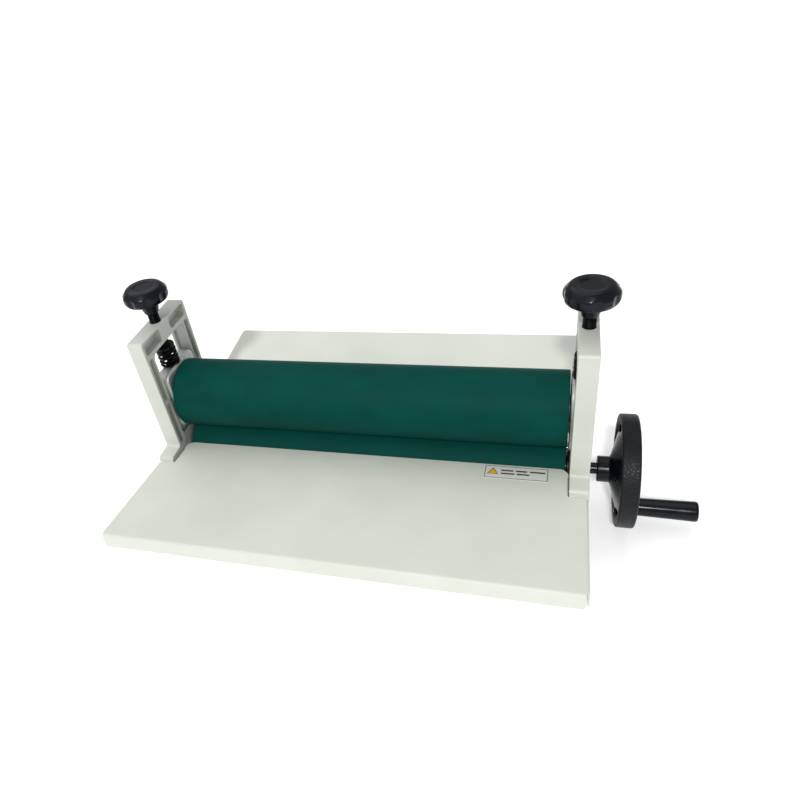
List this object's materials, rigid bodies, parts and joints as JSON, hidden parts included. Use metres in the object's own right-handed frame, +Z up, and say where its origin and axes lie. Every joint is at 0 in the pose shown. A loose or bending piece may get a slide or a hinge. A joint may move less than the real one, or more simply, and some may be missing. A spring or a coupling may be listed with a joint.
{
  "type": "cold roll laminator",
  "caption": "Bench-top cold roll laminator: two rubber rollers in side castings, sloped tables, screw-set upper roller and a handwheel with a revolving grip.",
  "frame": {"origin": "centre of the bench bolt pattern, midway between the side castings and under the roller axes, on the plane of the castings' base; the rubber feet reach 10 mm below it", "axes": "+X along the rollers towards the handwheel, +Y away from the operator, +Z up"},
  "size_m": [0.4904, 0.3224, 0.236],
  "materials": {
    "casting_paint": "smooth white stove enamel",
    "table_paint": "fine-textured white powder coat",
    "plated_steel": "turned and plated",
    "black_screw": "black oxide",
    "zinc_steel": "zinc plated",
    "bronze": "sintered bronze",
    "foot_rubber": "matt black",
    "label": "printed film",
    "block_aluminium": "die cast, tumbled",
    "spring_steel": "black oxide",
    "roller_rubber": "ground, satin dark green",
    "ground_steel": "ground",
    "wheel_plastic": "moulded with a leather grain",
    "grip_plastic": "smooth moulded",
    "knob_plastic": "satin moulded",
    "oxide_steel": "black oxide"
  },
  "bodies": {
    "frame": {"left_casting": "casting_paint", "right_casting": "casting_paint", "front_table": "table_paint", "rear_table": "table_paint", "front_tie_bar": "plated_steel", "rear_tie_bar": "plated_steel", "tie_bar_screws": "black_screw", "table_screws": "zinc_steel", "left_lower_bush": "bronze", "right_lower_bush": "bronze", "foot_front_left": "foot_rubber", "foot_front_right": "foot_rubber", "foot_rear_left": "foot_rubber", "foot_rear_right": "foot_rubber", "foot_screws": "zinc_steel", "table_label": "label"},
    "upper_carriage": {"left_bearing_block": "block_aluminium", "right_bearing_block": "block_aluminium", "left_upper_bush": "bronze", "right_upper_bush": "bronze", "left_pressure_spring": "spring_steel", "right_pressure_spring": "spring_steel"},
    "upper_roller": {"upper_roller_tube": "ground_steel", "upper_left_stub": "ground_steel", "upper_right_stub": "ground_steel", "upper_roller_sleeve": "roller_rubber"},
    "lower_roller": {"lower_roller_tube": "ground_steel", "lower_left_stub": "ground_steel", "lower_crank_shaft": "ground_steel", "lower_roller_sleeve": "roller_rubber", "lower_shaft_clip": "black_screw", "handwheel": "wheel_plastic", "handwheel_set_screw": "black_screw", "grip_spindle": "zinc_steel", "grip_nut": "zinc_steel"},
    "crank_grip": {"crank_grip": "grip_plastic", "grip_cap": "grip_plastic"},
    "left_screw": {"left_pressure_screw": "oxide_steel", "left_screw_collar": "oxide_steel", "left_screw_clip": "black_screw", "left_star_knob": "knob_plastic"},
    "right_screw": {"right_pressure_screw": "oxide_steel", "right_screw_collar": "oxide_steel", "right_screw_clip": "black_screw", "right_star_knob": "knob_plastic"}
  },
  "joints": [
    {"name": "lower_roller_spin", "type": "hinge", "parent": "frame", "child": "lower_roller", "pos_m": [0, 0, 0.047], "axis": [1, 0, 0], "continuous": true},
    {"name": "upper_lift", "type": "slide", "parent": "frame", "child": "upper_carriage", "axis": [0, 0, 1], "range_m": [0, 0.007]},
    {"name": "upper_roller_spin", "type": "hinge", "parent": "upper_carriage", "child": "upper_roller", "pos_m": [0, 0, 0.1113], "axis": [1, 0, 0], "continuous": true},
    {"name": "grip_spin", "type": "hinge", "parent": "lower_roller", "child": "crank_grip", "pos_m": [0.25, -0.00503, 0.00933], "axis": [1, 0, 0], "continuous": true},
    {"name": "left_screw_turn", "type": "hinge", "parent": "upper_carriage", "child": "left_screw", "pos_m": [-0.1855, 0, 0.2], "axis": [0, 0, 1], "range_deg": [0, 1680]},
    {"name": "right_screw_turn", "type": "hinge", "parent": "upper_carriage", "child": "right_screw", "pos_m": [0.1855, 0, 0.2], "axis": [0, 0, 1], "range_deg": [0, 1680]}
  ],
  "couplings": [
    {"joint": "upper_roller_spin", "follows": "lower_roller_spin", "ratio": -1},
    {"joint": "left_screw_turn", "follows": "upper_lift", "rad_per_m": 4188.8},
    {"joint": "right_screw_turn", "follows": "upper_lift", "rad_per_m": 4188.8}
  ]
}
